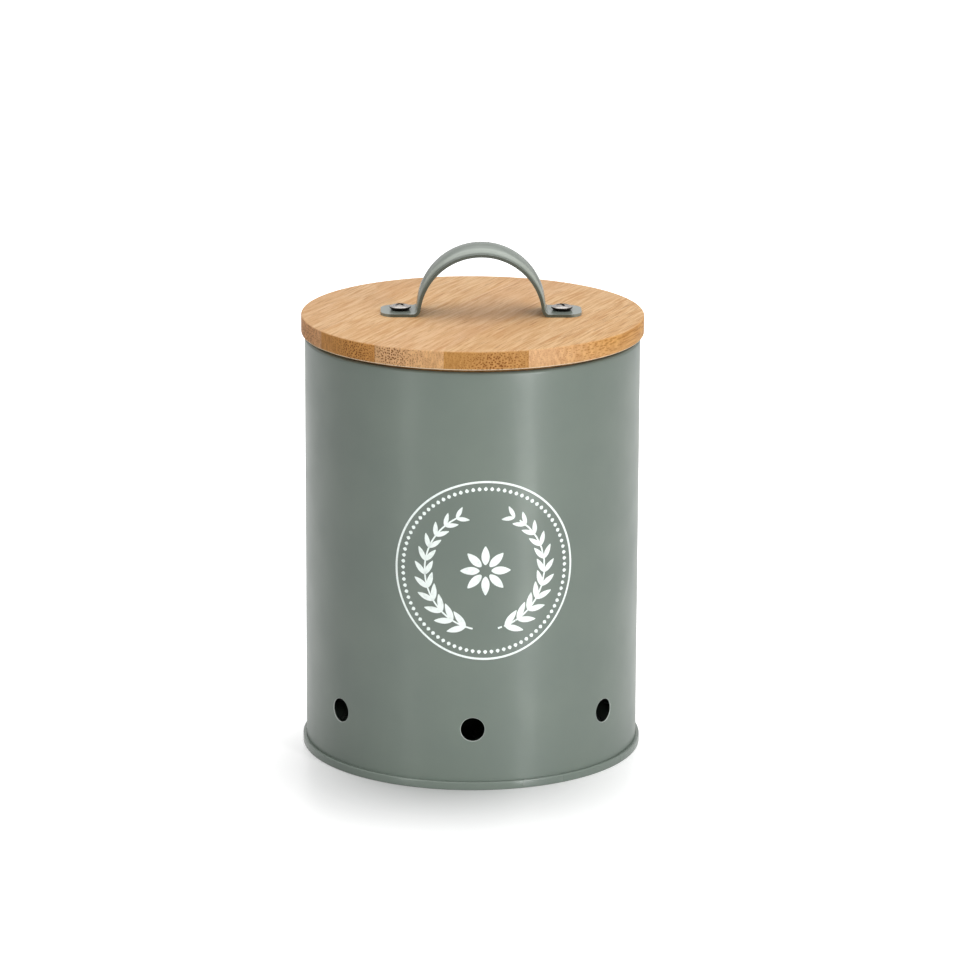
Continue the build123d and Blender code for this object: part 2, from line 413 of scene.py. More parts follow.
base_outline = rounded([
    (0, base_recess + panel_step, 0),
    (panel_radius, base_recess + panel_step, panel_step),
    (panel_radius + panel_step, base_recess, panel_step),
    (chuck_inside, base_recess, floor_bend),
    (chuck_inside, 0, foot_round),
    (bead_outside, 0, foot_round),
    (bead_outside, bead_height, bead_round),
    (end_hook_inside, bead_height, joint_round),
    (end_hook_inside, fold_low + sheet + hook_gap, 0),
    (end_hook_outside, fold_low + sheet + hook_gap, 0),
    (end_hook_outside, bead_height - sheet, 0),
    (bead_inside, bead_height - sheet, 0),
    (bead_inside, sheet, 0),
    (chuck_outside, sheet, 0),
    (chuck_outside, base_recess + sheet, floor_bend),
    (panel_radius + panel_step, base_recess + sheet, panel_step),
    (panel_radius, base_recess + sheet + panel_step, panel_step),
    (0, base_recess + sheet + panel_step, 0),
])
base_paint = powder_coat("glossier_powder_coat_on_base", "#6e7970", "#6a756d", 0.22)
make_piece("can_base_pan", lathe(base_outline), base_paint, "can", "sage_paint", "can_base")

# ---------------------------------------------------------------- printed ornament
# A round ornament screen printed in white ink on the front: a plain ring, a ring of dots, two
# laurel branches and a rosette. The ink stands a hair proud of the paint.
print_across = 4.3 * MM
print_height = 80.2 * MM
ink_thickness = 0.03 * MM
ink_step = 1.2 * MM
fewest_points = 12
ring_radius = 32.1 * MM
ring_width = 0.75 * MM
dot_ring_radius = 29.6 * MM
dot_size = 1.5 * MM
dot_width = 0.9 * dot_size
dot_count = 84
laurel_radius = 21.5 * MM
laurel_pairs = 11
laurel_from = 12
laurel_to = 158
leaf_length = 7.2 * MM
leaf_width = 2.3 * MM
leaf_lean = 34
leaf_shrink = 0.35
leaf_steps = 14
leaf_trim = 0.02
leaf_belly = 0.85
leaf_point = 0.8
rosette_petals = 8
rosette_radius = 9.0 * MM
rosette_eye = 0.22 * rosette_radius
petal_width = 2.9 * MM
stem_width = 0.6 * MM


def on_print(across, up, lift):
    """A point of the print, wrapped round the wall."""
    return around(can_radius + lift, (print_across + across) / can_radius, print_height + up)


def ink_stroke(shape, path, widths, closed=False):
    """A flat ribbon of ink along a path of (across, up) points, with a width at each point."""
    path = [Vector(p) for p in path]
    rails = []
    for i, here in enumerate(path):
        before = path[i - 1] if closed or i else here
        after = path[(i + 1) % len(path)] if closed or i + 1 < len(path) else here
        along = (after - before).normalized()
        aside = Vector((-along.y, along.x)) * widths[i] / 2
        flats = [here - aside, here, here + aside]
        ring = [on_print(p.x, p.y, ink_thickness) for p in flats]
        ring += [on_print(p.x, p.y, 0) for p in reversed(flats)]
        rails.append([shape.verts.new(p) for p in ring])
    for i in range(len(rails) if closed else len(rails) - 1):
        here, there = rails[i], rails[(i + 1) % len(rails)]
        for k in range(len(here)):
            beside = (k + 1) % len(here)
            shape.faces.new((here[k], here[beside], there[beside], there[k]))
    if not closed:
        shape.faces.new(rails[0])
        shape.faces.new(reversed(rails[-1]))


def circle_path(radius, start=0, end=360):
    """Even points of a circle or an arc, in degrees clockwise from the top."""
    length = math.radians(end - start) * radius
    count = max(fewest_points, math.ceil(length / ink_step))
    angles = [math.radians(start + (end - start) * k / count) for k in range(count)]
    return [(radius * math.sin(a), radius * math.cos(a)) for a in angles]


def leaf(shape, foot, heading, length, width):
    """A pointed leaf from its foot, heading in degrees clockwise from the top. Its tips are
    trimmed, leaf_belly says where it is widest, and leaf_point how blunt it is."""
    turn = math.radians(heading)
    out = Vector((math.sin(turn), math.cos(turn)))
    shares = [leaf_trim + (1 - 2 * leaf_trim) * k / leaf_steps for k in range(leaf_steps + 1)]
    path = [Vector(foot) + out * length * share for share in shares]
    widths = [width * math.sin(math.pi * s ** leaf_belly) ** leaf_point for s in shares]
    ink_stroke(shape, path, widths)


def ornament():
    """All the strokes of the print as one mesh."""
    shape = bmesh.new()
    path = circle_path(ring_radius)
    ink_stroke(shape, path, [ring_width] * len(path), closed=True)
    for dot in range(dot_count):
        heading = 360 * dot / dot_count
        turn = math.radians(heading)
        foot = Vector((math.sin(turn), math.cos(turn))) * (dot_ring_radius - dot_size / 2)
        leaf(shape, foot, heading, dot_size, dot_width)
    for side in (-1, 1):
        stem = circle_path(laurel_radius, side * (180 - laurel_from), side * (180 - laurel_to))
        ink_stroke(shape, stem, [stem_width] * len(stem))
        for pair in range(laurel_pairs):
            share = (pair + 0.5) / laurel_pairs
            place = side * (180 - laurel_from - (laurel_to - laurel_from) * share)
            turn = math.radians(place)
            foot = (laurel_radius * math.sin(turn), laurel_radius * math.cos(turn))
            forward = place - side * 90
            for lean in (-leaf_lean, leaf_lean):
                size = 1 - leaf_shrink * share
                leaf(shape, foot, forward + lean, leaf_length * size, leaf_width * size)
    for petal in range(rosette_petals):
        heading = 360 * petal / rosette_petals
        turn = math.radians(heading)
        foot = Vector((math.sin(turn), math.cos(turn))) * rosette_eye
        leaf(shape, foot, heading, rosette_radius - rosette_eye, petal_width)
    return shape


def screen_ink():
    """White screen ink, cured on the paint: chalky and almost matt, a little thin in places,
    so that the green shows through it faintly."""
    thick, thin = "#f2faf6", "#dbe4df"
    thin_spot = 1.5 * MM
    made, tree = new_material("white_screen_ink")
    place = node(tree, "TexCoord")["Object"]
    cover = node(tree, "TexNoise", {"Vector": place, "Scale": 1 / thin_spot, "Detail": 4})
    share = node(tree, "MapRange", {"Value": cover[0], 1: 0.5, 2: 0.75})[0]
    tint = node(tree, "Mix", {0: share, 6: linear(thick), 7: linear(thin)}, data_type="RGBA")[2]
    shader = node(tree, "BsdfPrincipled", {"Base Color": tint, "Roughness": 0.5, "IOR": 1.5})
    node(tree, "OutputMaterial", {"Surface": shader[0]})
    return made


make_piece("printed_ornament", ornament(), screen_ink(), "can", "sage_paint")

# ---------------------------------------------------------------- lid staves
# Five flat bamboo staves, glued edge to edge and turned to a round board. The fibres run
# slantwise to the handle. The rim cuts across them, so it shows the ends of their bundles.
lid_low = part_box("lid_stave_3")[0].z
lid_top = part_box("lid_stave_3")[1].z
lid_radius = can_radius + 1.3 * MM
lid_round = 0.5 * MM
glue_groove = 0.07 * MM
stave_count = 5
stave_width = 25.8 * MM
stave_shift = -3.1 * MM
grain_angle = math.radians(65)


def bamboo(name, angle, face, dark_grain, end, crowded_end, bundle_ink, skin_at, lined):
    """Pressed bamboo, sanded and lightly oiled. Its face has silky streaks and fine dark lines
    along the fibres. Its end has brown dots, one to each fibre bundle, which crowd and darken
    towards what was the culm's skin: a spot across the stave, at a height from its underside.
    The rounding of the lower edge, where it faces down, is painted pale as a highlight."""
    # Sizes are in millimetres, a streak's being its length along the fibres and its width.
    # Scales are per millimetre.
    bundle = 0.9
    crowd_near = 4
    crowd_far = 16
    crowd_patches = 6
    silk_size = (17, 1.1)
    band_size = (70, 4)
    line_size = (13, 0.45)
    cloud_size = (40, 14)
    sway_reach = (0, 2.4, 1.2)
    sway_scale = 0.035
    patch_scale = 0.22
    fleck_scale = 1.2
    pith_scale = (1.3, 0.3, 0)
    ridge_depth = 0.05 * MM
    # The second colour is a painted highlight for the lower edge's rounding.
    line_ink, painted_edge_highlight = "#a8723a", "#f6e2c3"

    made, tree = new_material(name)
    place = node(tree, "TexCoord")["Object"]
    grain = node(tree, "Mapping", {
        "Vector": place,
        "Rotation": (0, 0, -angle),
        "Scale": (1 / MM, 1 / MM, 1 / MM),
    })[0]
    drift = node(tree, "TexNoise", {"Vector": grain, "Scale": sway_scale, "Detail": 1})["Color"]
    sway = node(tree, "VectorMath", {0: drift, 1: sway_reach}, operation="MULTIPLY")[0]
    bent = node(tree, "VectorMath", {0: grain, 1: sway}, operation="ADD")[0]

    streaks = []
    for (length, width), detail, rough in (
        (silk_size, 4, 0.62),
        (band_size, 2, 0.5),
        (line_size, 2, 0.5),
        (cloud_size, 2, 0.5),
    ):
        scales = (1 / length, 1 / width, 1 / width)
        drawn = node(tree, "VectorMath", {0: bent, 1: scales}, operation="MULTIPLY")[0]
        streaks.append(node(tree, "TexNoise", {
            "Vector": drawn, "Scale": 1, "Detail": detail, "Roughness": rough,
        })[0])
    silk, band, lines, clouds = streaks
    flecks = node(tree, "TexNoise", {
        "Vector": grain, "Scale": fleck_scale, "Detail": 3, "Roughness": 0.7,
    })[0]

    # The end: a section across the fibres, with its bundles, and the pith between them.
    across = node(tree, "SeparateXYZ", {0: bent})
    section = node(tree, "CombineXYZ", {0: across["Y"], 1: across["Z"]})[0]
    spacing = {"Vector": section, "Scale": 1 / bundle, "Randomness": 0.85}
    cells = node(tree, "TexVoronoi", spacing, voronoi_dimensions="2D")
    skin = (skin_at[0], lid_low / MM + skin_at[1], 0)
    off_skin = node(tree, "VectorMath", {0: section, 1: skin}, operation="DISTANCE")["Value"]
    patches = node(tree, "TexNoise", {"Vector": section, "Scale": patch_scale, "Detail": 1})[0]
    off_skin = node(tree, "Math", {
        0: patches, 1: crowd_patches, 2: off_skin,
    }, operation="MULTIPLY_ADD")[0]
    crowd = node(tree, "MapRange", {"Value": off_skin, 1: crowd_far, 2: crowd_near})[0]
    dot_size = node(tree, "MapRange", {"Value": crowd, 3: 0.22, 4: 0.37})[0]
    inside = node(tree, "Math", {0: dot_size, 1: cells["Distance"]}, operation="SUBTRACT")[0]
    core = node(tree, "MapRange", {"Value": inside, 1: 0, 2: 0.09})[0]
    upright = node(tree, "VectorMath", {0: section, 1: pith_scale}, operation="MULTIPLY")[0]
    pith = node(tree, "TexNoise", {"Vector": upright, "Scale": 1, "Detail": 3, "Roughness": 0.7})[0]
    pith = node(tree, "MapRange", {"Value": pith, 1: 0.38, 2: 0.72, 3: 0, 4: 0.5})[0]

    # How far the surface looks along the fibres, and how far up.
    normal = node(tree, "NewGeometry")["Normal"]
    fibre = (math.cos(angle), math.sin(angle), 0)
    facing = node(tree, "VectorMath", {0: normal, 1: fibre}, operation="DOT_PRODUCT")["Value"]
    end_on = node(tree, "Math", {0: facing, 1: facing}, operation="MULTIPLY")[0]
    upward = node(tree, "SeparateXYZ", {0: normal})["Z"]
    on_face = node(tree, "Math", {0: upward, 1: upward}, operation="MULTIPLY")[0]

    # The face's tone: silk, livelier in some clouds than in others, on wide bands and flecks.
    lively = node(tree, "MapRange", {"Value": clouds, 1: 0.38, 2: 0.62, 3: 0.6, 4: 1.7})[0]
    tone = node(tree, "Math", {0: silk, 1: 0.5}, operation="SUBTRACT")[0]
    tone = node(tree, "Math", {0: tone, 1: lively, 2: 0.65}, operation="MULTIPLY_ADD")[0]
    for pattern, weight in ((band, 0.45), (flecks, 0.4), (clouds, 0.25)):
        tone = node(tree, "Math", {0: pattern, 1: weight, 2: tone}, operation="MULTIPLY_ADD")[0]
    tone = node(tree, "MapRange", {"Value": tone, 1: 1.0, 2: 1.37})[0]

    # The tints lie over each other, from the plain end's to the bundles'. The share of each is
    # the product of what limits it.
    dark_lines = node(tree, "MapRange", {"Value": lines, 1: lined, 2: lined + 0.09})[0]
    sides = node(tree, "MapRange", {"Value": upward, 1: -0.1, 2: -0.45})[0]
    underside = node(tree, "MapRange", {"Value": upward, 1: -0.99, 2: -0.9})[0]
    crowded = node(tree, "MapRange", {"Value": crowd, 3: 0.35, 4: 1})[0]
    cut_ends = node(tree, "MapRange", {"Value": end_on, 1: 0, 2: 0.5, 3: 0.45, 4: 0.95})[0]
    off_face = node(tree, "MapRange", {"Value": on_face, 1: 0, 2: 0.4, 3: 1, 4: 0.05})[0]
    face_tint = node(tree, "Mix", {
        0: tone, 6: linear(dark_grain), 7: linear(face),
    }, data_type="RGBA")[2]
    tint = linear(end)
    for limits, over in (
        ((crowd,), linear(crowded_end)),
        ((pith,), linear(bundle_ink)),
        ((on_face,), face_tint),
        ((dark_lines, on_face, 0.8), linear(line_ink)),
        # Painted highlight: a pale tint on the lower edge's rounding, where it faces down.
        ((sides, underside, 0.75), linear(painted_edge_highlight)),
        ((core, crowded, cut_ends, off_face), linear(bundle_ink)),
    ):
        share = limits[0]
        for limit in limits[1:]:
            share = node(tree, "Math", {0: share, 1: limit}, operation="MULTIPLY")[0]
        tint = node(tree, "Mix", {0: share, 6: tint, 7: over}, data_type="RGBA")[2]
    dots = share

    dull = node(tree, "MapRange", {"Value": silk, 1: 0.3, 2: 0.7, 3: 0.62, 4: 0.5})[0]
    sheen = node(tree, "MapRange", {"Value": on_face, 1: 0, 2: 0.5, 3: 0.2, 4: 0.5})[0]
    relief = node(tree, "Math", {0: silk, 1: dots}, operation="SUBTRACT")[0]
    ridges = node(tree, "Bump", {"Height": relief, "Strength": 0.4, "Distance": ridge_depth})[0]
    shader = node(tree, "BsdfPrincipled", {
        "Base Color": tint,
        "Roughness": dull,
        "Specular IOR Level": sheen,
        "IOR": 1.45,
        "Normal": ridges,
    })
    node(tree, "OutputMaterial", {"Surface": shader[0]})
    return made


def stave(first, last):
    """The part of the round board between two glue lines, with its glued edges just broken."""
    board = lathe(rounded([
        (0, lid_low, 0),
        (lid_radius, lid_low, lid_round),
        (lid_radius, lid_top, lid_round),
        (0, lid_top, 0),
    ]))
    bmesh.ops.remove_doubles(board, verts=board.verts, dist=weld)
    aside = Vector((-math.sin(grain_angle), math.cos(grain_angle), 0))
    for line, away in ((first, -1), (last, 1)):
        if line is None:
            continue
        everything = board.verts[:] + board.edges[:] + board.faces[:]
        cut = bmesh.ops.bisect_plane(
            board, geom=everything, plane_co=aside * line, plane_no=aside * away, clear_outer=True
        )
        rim = [e for e in cut["geom_cut"] if isinstance(e, bmesh.types.BMEdge)]
        bmesh.ops.contextual_create(board, geom=rim)
        bmesh.ops.bevel(board, geom=rim, offset=glue_groove, segments=1, affect="EDGES")
    return board


# Each stave's face, dark grain, end, crowded end and bundles, where its culm's skin was, and
# from what strength its dark lines show.
stave_looks = [
    ("#deb784", "#c38e54", "#d8ac7e", "#d4a15f", "#8f5012", (-59.5, 6), 0.54),
    ("#dcb482", "#c38f57", "#bb8a4c", "#bd8a4e", "#6f3a0c", (-31, 1), 0.6),
    ("#dcb384", "#c4905b", "#d6a774", "#dcae7e", "#653712", (4, 5), 0.6),
    ("#ddb584", "#c59159", "#c98f4e", "#c98f4c", "#6f3c0e", (20, 3), 0.61),
    ("#dcb485", "#c4915b", "#d7a272", "#cc9159", "#744416", (50, 2), 0.58),
]
first_line = stave_shift - stave_width * (stave_count - 2) / 2
for k, look in enumerate(stave_looks):
    low = first_line + stave_width * (k - 1) if k else None
    high = first_line + stave_width * k if k < stave_count - 1 else None
    finish = bamboo(f"pressed_bamboo_{k + 1}", grain_angle, *look)
    make_piece(f"stave_{k + 1}", stave(low, high), finish, "lid", "bamboo", f"lid_stave_{k + 1}")

# ---------------------------------------------------------------- lid plug
# A bamboo disc glued under the staves, which centres the lid in the mouth. Its fibres cross
# theirs, and its side has a turned groove for the seal.
plug_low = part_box("lid_plug")[0].z
plug_radius = 55 * MM
plug_round = 0.8 * MM
groove_depth = 2 * MM
groove_top = lid_low - 2.2 * MM
groove_low = groove_top - 4 * MM

plug_outline = rounded([
    (0, plug_low, 0),
    (plug_radius, plug_low, plug_round),
    (plug_radius, groove_low, glue_groove),
    (plug_radius - groove_depth, groove_low, 0),
    (plug_radius - groove_depth, groove_top, 0),
    (plug_radius, groove_top, glue_groove),
    (plug_radius, lid_low, 0),
    (0, lid_low, 0),
])
plug_look = ("#dcb584", "#c4915b", "#d2a26c", "#d2a26c", "#8a5526", (20, -2), 0.6)
plug_finish = bamboo("pressed_bamboo_plug", grain_angle + math.pi / 2, *plug_look)
make_piece("plug", lathe(plug_outline), plug_finish, "lid", "bamboo", "lid_plug")

# ---------------------------------------------------------------- lid seal
# A moulded silicone ring in the plug's groove, with two lips that flare up against the rim.
seal_play = 0.1 * MM
seal_low = groove_low + seal_play
seal_high = groove_top - seal_play
seal_inside = plug_radius - groove_depth + seal_play
seal_body = plug_radius + 0.6 * MM
lip_edge = can_radius - 2 * curl_radius - 0.3 * MM
lip_root = 0.9 * MM
lip_tip = 0.45 * MM
lip_rise = 0.7 * MM
lip_round = 0.2 * MM


def silicone():
    """Milky food-grade silicone, moulded: soft, slightly see-through at its thin lips, with a
    dull skin that picks up a little dust."""
    clear, dusty = "#e6e4dd", "#d6d3ca"
    dust_size = 2.5 * MM
    made, tree = new_material("milky_silicone")
    place = node(tree, "TexCoord")["Object"]
    dust = node(tree, "TexNoise", {"Vector": place, "Scale": 1 / dust_size, "Detail": 4})
    tint = node(tree, "Mix", {0: dust[0], 6: linear(clear), 7: linear(dusty)}, data_type="RGBA")[2]
    dull = node(tree, "MapRange", {"Value": dust[0], 3: 0.38, 4: 0.55})[0]
    shader = node(tree, "BsdfPrincipled", {
        "Base Color": tint,
        "Roughness": dull,
        "IOR": 1.41,
        "Subsurface Weight": 0.35,
        "Subsurface Radius": (1, 0.9, 0.8),
        "Subsurface Scale": 1.2 * MM,
    })
    node(tree, "OutputMaterial", {"Surface": shader[0]})
    return made


seal_corners = [(seal_inside, seal_low, 0)]
for root_low in (seal_low, seal_high - lip_root - lip_rise):
    seal_corners += [
        (seal_body, root_low, 0),
        (lip_edge, root_low + lip_rise, lip_round),
        (lip_edge, root_low + lip_rise + lip_tip, lip_round),
        (seal_body, root_low + lip_root, lip_round),
    ]
seal_corners += [(seal_body, seal_high, 0), (seal_inside, seal_high, 0)]
make_piece("seal_ring", lathe(rounded(seal_corners, 3)), silicone(), "lid", "silicone", "lid_seal")

# ---------------------------------------------------------------- handle strap
# One strip of steel, pressed to an arch with a raised bead between two flat feet with rounded
# corners, and powder coated a little paler and glossier than the can. The bead sinks away in
# the bends above the feet.
handle_shift = 3 * MM
arch_radius = 21.7 * MM
strap_half = 8 * MM
strap_thickness = 1.05 * MM
strap_edge = 0.33 * MM
bead_rim = 1.3 * MM
bead_lean = 0.5 * MM
bead_fillet = 0.3 * MM
bead_side = 1.1 * MM
bead_crown = 1.8 * MM
bead_start = 0.32
foot_bend = 1.8 * MM
foot_corner = 5 * MM
foot_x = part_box("handle_strap")[1].x - handle_shift
head_radius = 4 * MM
head_gap = 0.5 * MM

bend_outside = foot_bend + strap_thickness
bend_x = math.sqrt((arch_radius + bend_outside) ** 2 - bend_outside ** 2)
foot_angle = math.degrees(math.asin(bend_outside / (arch_radius + bend_outside)))
screw_x = bend_x + head_gap + head_radius
strap_hole = 2.3 * MM
hole_steps = 48

arch_steps = 48
bend_steps = 12
foot_steps = 6
corner_steps = 12
bead_side_steps = 8
bead_crown_steps = 9
soft_angle = math.radians(35)


def strap_stations():
    """Places along the right half of the strap, from its crown to its end: the underside's
    point, the direction out of it, the bead's rise as a share and half the width."""
    stations = []
    for k in range(arch_steps + 1):
        angle = 90 - (90 - foot_angle) * k / arch_steps
        out = Vector((math.cos(math.radians(angle)), math.sin(math.radians(angle))))
        share = (angle - foot_angle) / (180 - 2 * foot_angle)
        rise = bead_start + (1 - bead_start) * math.sin(math.pi * share)
        stations.append((out * arch_radius, out, rise, strap_half))
    for k in range(1, bend_steps + 1):
        angle = math.radians(foot_angle + (90 - foot_angle) * k / bend_steps)
        out = Vector((math.cos(angle), math.sin(angle)))
        rise = bead_start * (1 - k / bend_steps)
        stations.append((Vector((bend_x, bend_outside)) - out * bend_outside, out, rise, strap_half))
    straight = foot_x - foot_corner - bend_x
    for k in range(1, foot_steps + 1):
        x = bend_x + straight * k / foot_steps
        stations.append((Vector((x, 0)), Vector((0, 1)), 0, strap_half))
    for k in range(1, corner_steps + 1):
        turn = math.radians(90 * k / corner_steps)
        x = foot_x - foot_corner * (1 - math.sin(turn))
        half = strap_half - foot_corner * (1 - math.cos(turn))
        stations.append((Vector((x, 0)), Vector((0, 1)), 0, half))
    return stations


def bead_profile(across, base, rise):
    """The bead's height over the flat rims: leaning sides with soft corners, and a crown."""
    side = bead_side * rise * smooth((base + bead_fillet - across) / (bead_lean + 2 * bead_fillet))
    crown = bead_crown * rise ** 2 * max(0, 1 - (across / (base - bead_lean)) ** 2)
    return side + crown


def strap_section(half, rise):
    """Closed outline across the strap: (across, out) points, over the bead and back below."""
    base = half - bead_rim
    side = base - bead_lean - bead_fillet
    steps = [half, base + bead_fillet]
    slope = bead_lean + 2 * bead_fillet
    steps += [base + bead_fillet - slope * k / bead_side_steps for k in range(1, bead_side_steps + 1)]
    steps += [side * (1 - k / bead_crown_steps) for k in range(1, bead_crown_steps + 1)]
    over = [(x, strap_thickness + bead_profile(x, base, rise)) for x in steps]
    over += [(-x, y) for x, y in reversed(over[:-1])]
    hollow = [x * (base - strap_thickness) / base for x in steps[1:]]
    under = [(x, bead_profile(x, base - strap_thickness, rise)) for x in hollow]
    under = [(half, 0)] + under
    under += [(-x, y) for x, y in reversed(under[:-1])]
    return over + list(reversed(under))


def strap():
    """The strap's skin, from end to end."""
    right = strap_stations()
    mirror = Matrix(((-1, 0), (0, 1)))
    left = [(mirror @ point, mirror @ out, rise, half) for point, out, rise, half in right[1:]]
    shape = bmesh.new()
    rings = []
    for point, out, rise, half in list(reversed(left)) + right:
        ring = []
        for across, up in strap_section(half, rise):
            spot = point + out * up
            ring.append(shape.verts.new((handle_shift + spot.x, across, lid_top + spot.y)))
        rings.append(ring)
    for here, there in zip(rings, rings[1:]):
        for k in range(len(here)):
            beside = (k + 1) % len(here)
            shape.faces.new((here[k], here[beside], there[beside], there[k]))
    shape.faces.new(rings[0])
    shape.faces.new(reversed(rings[-1]))
    return shape


def soften(piece, width, segments):
    """Rounds a piece's sharp edges."""
    edges = piece.modifiers.new("soft_edges", "BEVEL")
    edges.width = width
    edges.segments = segments
    edges.limit_method = "ANGLE"
    edges.angle_limit = soft_angle
    edges.harden_normals = True


def cut(piece, cutter):
    """Takes a closed shape out of a piece for good."""
    mesh = bpy.data.meshes.new("cutter")
    bmesh.ops.recalc_face_normals(cutter, faces=cutter.faces)
    cutter.to_mesh(mesh)
    cutter.free()
    tool = bpy.data.objects.new("cutter", mesh)
    bpy.context.scene.collection.objects.link(tool)
    boolean = piece.modifiers.new("cut", "BOOLEAN")
    boolean.object = tool
    boolean.solver = "EXACT"
    ready = piece.evaluated_get(bpy.context.evaluated_depsgraph_get())
    piece.data = bpy.data.meshes.new_from_object(ready)
    piece.modifiers.clear()
    bpy.data.objects.remove(tool)
    bpy.data.meshes.remove(mesh)


def strap_painted_light(tree, tint):
    """Paints light and shade onto the strap's coat: a pale painted highlight along the bead's
    shoulders, painted shade in the grooves beside the bead, and painted shade on the sheared
    edges that face front and back. The first two are only on the arch, not on the feet."""
    place = node(tree, "SeparateXYZ", {0: node(tree, "TexCoord")["Object"]})
    sideways = node(tree, "SeparateXYZ", {0: node(tree, "NewGeometry")["Normal"]})["Y"]
    sideways = node(tree, "Math", {0: sideways}, operation="ABSOLUTE")[0]
    across = node(tree, "Math", {0: place["Y"]}, operation="ABSOLUTE")[0]
    side = strap_half - bead_rim
    arch = (place["Z"], lid_top + 3 * MM, lid_top + 7 * MM)
    # Each shade, its strength, and what it fades in by: a value, where it starts and is full.
    shades = (
        # Painted highlight along the bead's shoulders.
        ("#a9b0a7", 0.6, (
            arch,
            (across, side - 2.2 * MM, side - 1.2 * MM),
            (across, side, side - 0.4 * MM),
        )),
        # Painted shade in the grooves beside the bead.
        ("#4b5148", 0.7, (
            arch,
            (across, side - 0.2 * MM, side + 0.1 * MM),
            (across, side + 0.7 * MM, side + 0.4 * MM),
        )),
        # Painted shade on the sheared edges, where the surface faces front or back.
        ("#464c43", 1, ((sideways, 0.86, 0.98),)),
    )
    for shade, share, fades in shades:
        for value, start, full in fades:
            fade = node(tree, "MapRange", {"Value": value, 1: start, 2: full})[0]
            share = node(tree, "Math", {0: fade, 1: share}, operation="MULTIPLY")[0]
        tint = node(tree, "Mix", {0: share, 6: tint, 7: linear(shade)}, data_type="RGBA")[2]
    return tint


# The strap's coat carries the painted highlight and painted shade above.
handle_paint = powder_coat("handle_coat_with_painted_light", "#7b837b", "#757d75", 0.2, strap_painted_light)
handle = make_piece("strap_handle", strap(), handle_paint, "lid", "sage_paint", "handle_strap")
for side in (-1, 1):
    drill = bmesh.new()
    middle = Matrix.Translation((handle_shift + side * screw_x, 0, lid_top))
    bmesh.ops.create_cone(
        drill, cap_ends=True, segments=hole_steps, radius1=strap_hole, radius2=strap_hole,
        depth=4 * strap_thickness, matrix=middle,
    )
    cut(handle, drill)
handle.data.set_sharp_from_angle(angle=sharp_angle)
soften(handle, strap_edge, segments=4)

# ---------------------------------------------------------------- handle screws
# Two zinc-plated self-tapping screws with low raised heads and cross recesses, through the feet
# and into the bamboo. The heads narrow a little towards the feet.
head_height = 2.1 * MM
head_rim = 1.15 * MM
head_seat = 3.1 * MM
head_steps = 14
rim_round = 0.25 * MM
seat_round = 0.2 * MM
screw_edge = 0.06 * MM
shank_radius = 2 * MM
screw_length = 13 * MM
screw_point = 3 * MM
recess_half = 2.2 * MM
recess_slot = 0.5 * MM
recess_depth = 1.5 * MM
recess_draft = 0.3 * MM
recess_above = 0.2 * MM
screw_turns = (math.radians(38), math.radians(20))


def zinc_plate():
    """Bright zinc plate on steel, clear passivated: a greyish white metal with a few dull
    specks. Painted shade darkens the steep faces: the head's side and the recess's walls."""
    # The third colour is painted shade for the steep faces.
    bright, dull, side = "#a39e9a", "#7d7975", "#2e2b29"
    speck_size = 0.6 * MM
    mark_depth = 0.05 * MM
    made, tree = new_material("bright_zinc_plate")
    place = node(tree, "TexCoord")["Object"]
    specks = node(tree, "TexNoise", {"Vector": place, "Scale": 1 / speck_size, "Detail": 4})
    share = node(tree, "MapRange", {"Value": specks[0], 1: 0.45, 2: 0.75})[0]
    tint = node(tree, "Mix", {0: share, 6: linear(bright), 7: linear(dull)}, data_type="RGBA")[2]
    upward = node(tree, "SeparateXYZ", {0: node(tree, "NewGeometry")["Normal"]})["Z"]
    # Painted shade: the steep faces take the dark third colour.
    steep_painted_shade = node(tree, "MapRange", {"Value": upward, 1: 0.86, 2: 0.68})[0]
    tint = node(tree, "Mix", {0: steep_painted_shade, 6: tint, 7: linear(side)}, data_type="RGBA")[2]
    rough = node(tree, "MapRange", {"Value": specks[0], 1: 0.3, 2: 0.7, 3: 0.2, 4: 0.36})[0]
    marks = node(tree, "Bump", {"Height": specks[0], "Strength": 0.1, "Distance": mark_depth})[0]
    shader = node(tree, "BsdfPrincipled", {
        "Base Color": tint,
        "Metallic": 1.0,
        "Roughness": rough,
        "Normal": marks,
    })
    node(tree, "OutputMaterial", {"Surface": shader[0]})
    return made


def screw_outline():
    """Half a screw's outline, with its head's underside at height 0."""
    dome = head_height - head_rim
    sphere = (head_radius ** 2 + dome ** 2) / (2 * dome)
    widest = math.asin(head_radius / sphere)
    crown = [(0, head_height, 0)]
    for k in range(1, head_steps):
        turn = widest * k / head_steps
        crown.append((sphere * math.sin(turn), head_height - sphere * (1 - math.cos(turn)), 0))
    crown.append((head_radius, head_rim, rim_round))
    return rounded([
        *reversed(crown),
        (0, -screw_length, 0),
        (shank_radius, screw_point - screw_length, 0),
        (shank_radius, 0, 0),
        (head_seat, 0, seat_round),
    ])


def recess():
    """The cross recess's cutter: a cross that narrows downwards."""
    shape = bmesh.new()
    rings = []
    for z, shrink in ((head_height + recess_above, 0), (head_height - recess_depth, recess_draft)):
        far = recess_half - shrink
        near = recess_slot - shrink / 2
        ring = []
        for quarter in range(4):
            turn = Matrix.Rotation(math.pi / 2 * quarter, 3, "Z")
            for x, y in ((far, -near), (far, near), (near, near)):
                ring.append(shape.verts.new(turn @ Vector((x, y, z))))
        rings.append(ring)
    for k in range(len(ring)):
        beside = (k + 1) % len(ring)
        shape.faces.new((rings[0][k], rings[0][beside], rings[1][beside], rings[1][k]))
    shape.faces.new(rings[0])
    shape.faces.new(reversed(rings[1]))
    return shape


